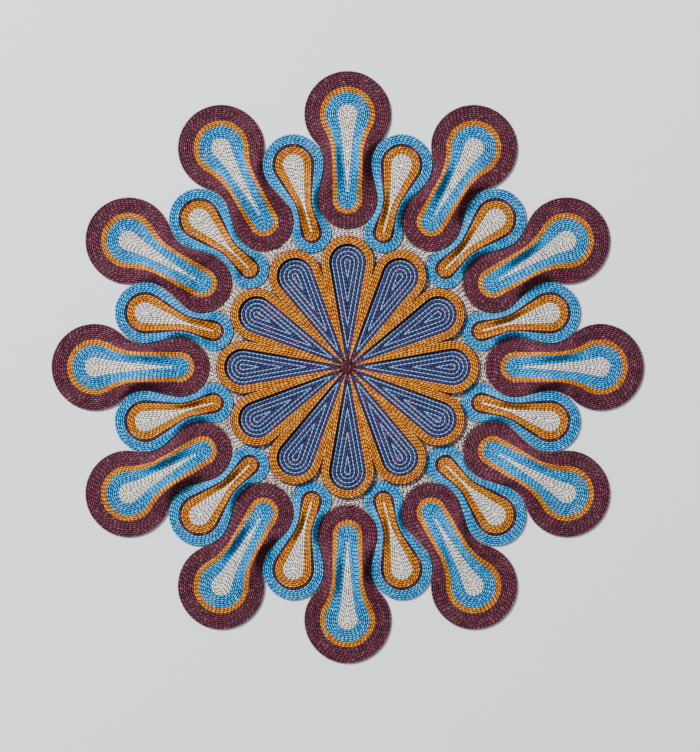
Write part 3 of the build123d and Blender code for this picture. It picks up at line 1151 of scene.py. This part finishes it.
@dataclass
class Rosette:
    """The whole rosette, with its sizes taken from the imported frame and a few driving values."""

    radius: float
    board: float
    lobe_ridge_top: float
    strand: float = STRAND
    large_outer: float = 44.0
    large_inner: float = 30.0
    large_length: float = 86.0
    small_outer: float = 31.0
    small_inner: float = 20.0
    small_ridge: float = 9.5
    ground_gap: float = 7.4
    frame_clearance: float = 0.35
    frame_width: float = 8.0

    @property
    def large_outer_at(self) -> float:
        """Distance from the centre to a large lobe's outer round."""
        return self.radius - self.large_outer

    @property
    def large_inner_at(self) -> float:
        """Distance from the centre to a large lobe's inner round."""
        return self.large_outer_at - self.large_length

    @property
    def flat_top(self) -> float:
        """Height of the flat bands' top."""
        return self.board + self.strand

    @staticmethod
    def nested_at(beside_at: float, beside: float, own: float) -> float:
        """Distance from the centre, half a pitch away, where a round touches the one beside it."""
        along, across = beside_at * math.cos(PITCH / 2), beside_at * math.sin(PITCH / 2)
        return along - math.sqrt((beside + own) ** 2 - across**2)

    @property
    def small_outer_at(self) -> float:
        """Distance from the centre to a small lobe's outer round."""
        return self.nested_at(self.large_outer_at, self.large_outer, self.small_outer)

    @property
    def small_inner_at(self) -> float:
        """Distance from the centre to a small lobe's inner round."""
        return self.nested_at(self.large_inner_at, self.large_inner, self.small_inner)

    def large_ring(self) -> LobeRing:
        """The ring of large lobes."""
        at, inner_at = self.large_outer_at, self.large_inner_at
        waist = self.small_outer_at * math.sin(PITCH / 2) - self.small_outer
        # Outer round, inner round's place and size, waist and hollow, from the rim inwards
        sizes = (
            (self.large_outer, inner_at, self.large_inner, waist, self.small_outer),
            (28.0, inner_at, 15.0, waist * 0.65, 62.0),
            (22.5, inner_at, 10.0, waist * 0.475, 69.0),
            (10.0, inner_at + 8.0, 0.6, waist * 0.19, 160.0),
        )
        outlines = []
        for outer, low, inner, half, hollow in sizes:
            hollow_at = at - math.sqrt((outer + hollow) ** 2 - (half + hollow) ** 2)
            outlines.append(Keyhole(at, outer, low, inner, half, hollow, hollow_at))
        bands = (
            Band("maroon_rim", Paper.MAROON, "maroon_paper", 8),
            Band("orange_lines", Paper.ORANGE, "orange_paper", 3),
            Band("blue_fills", Paper.BLUE, "blue_paper", 6, closing=True),
            Band("cream_cores", Paper.CREAM, "cream_paper", 5, solid=True),
        )
        ridge = self.lobe_ridge_top - self.flat_top
        shape = {"ridge": ridge, "valley": 0.42, "base": self.flat_top}
        return LobeRing("large_lobe", 0.0, tuple(outlines), bands, **shape, nested=False)

    def small_ring(self) -> LobeRing:
        """The ring of small lobes."""
        at, inner_at = self.small_outer_at, self.small_inner_at
        waist = self.large_inner_at * math.sin(PITCH / 2) - self.large_inner
        waist_at = self.large_inner_at * math.cos(PITCH / 2)
        # Outer round, inner round's place and size, waist and hollow, from the rim inwards
        sizes = (
            (self.small_outer, inner_at, self.small_inner, waist, self.large_inner),
            (21.0, inner_at, 10.5, waist * 0.62, 45.0),
            (18.5, inner_at, 8.0, waist * 0.44, 50.0),
            (10.5, inner_at + 1.0, 0.6, waist * 0.10, 62.0),
        )
        outlines = tuple(
            Keyhole(at, outer, low, inner, half, hollow, waist_at)
            for outer, low, inner, half, hollow in sizes
        )
        bands = (
            Band("blue_rim", Paper.BLUE, "blue_paper", 5),
            Band("maroon_lines", Paper.PLUM, "maroon_paper", 1),
            Band("orange_fills", Paper.ORANGE, "orange_paper", 4, closing=True),
            Band("cream_cores", Paper.CREAM, "cream_paper", 5, solid=True),
        )
        shape = {"ridge": self.small_ridge, "valley": 0.36, "base": self.flat_top}
        return LobeRing("small_lobe", 0.5, outlines, bands, **shape, nested=True)

    def medallion(self) -> Medallion:
        """The medallion in the middle."""
        reach = self.large_inner_at - self.large_inner - self.ground_gap
        across = self.small_inner_at * math.sin(PITCH / 2)
        short = reach - self.small_inner_at * math.cos(PITCH / 2)
        beside = self.small_inner + self.frame_clearance
        frame_radius = (across**2 + short**2 - beside**2) / (2 * (short + beside))
        return Medallion(
            reach=reach,
            frame_radius=frame_radius,
            frame_width=self.frame_width,
            flat_top=self.flat_top,
            rise=4.0,
            centre_rise=0.6,
            flat_from=78.0,
            knot=7.0,
            large_round=(self.large_inner_at, self.large_inner),
            small_round=(self.small_inner_at, self.small_inner),
        )


def main() -> None:
    """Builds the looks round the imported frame."""
    logging.basicConfig(level=logging.INFO, format="%(message)s")
    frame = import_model()
    cad_box = [list(corner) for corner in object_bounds()]
    papers = {paper: paper.value.material() for paper in Paper}
    board_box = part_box("backing_board")
    rosette = Rosette(
        radius=round(cad_box[1][1] / MM),
        board=board_box[1][2] / MM,
        lobe_ridge_top=cad_box[1][2] / MM,
    )
    maker = StrandMaker(SweepTree(), np.random.default_rng(SEED))
    rosette.large_ring().build(maker, papers)
    rosette.small_ring().build(maker, papers)
    rosette.medallion().build(maker, papers)
    # The card is dark so that the gaps between strands show painted shade
    card = Card("dark_card_gap_shade", (0.24, 0.21, 0.19), (0.16, 0.14, 0.12)).material()
    board = frame["nodes"]["backing_board"]
    board.data.materials.clear()
    board.data.materials.append(card)
    Studio().build()
    LOG.info("strands: %d triangles", maker.triangles)
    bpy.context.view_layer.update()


if __name__ == "__main__":
    main()
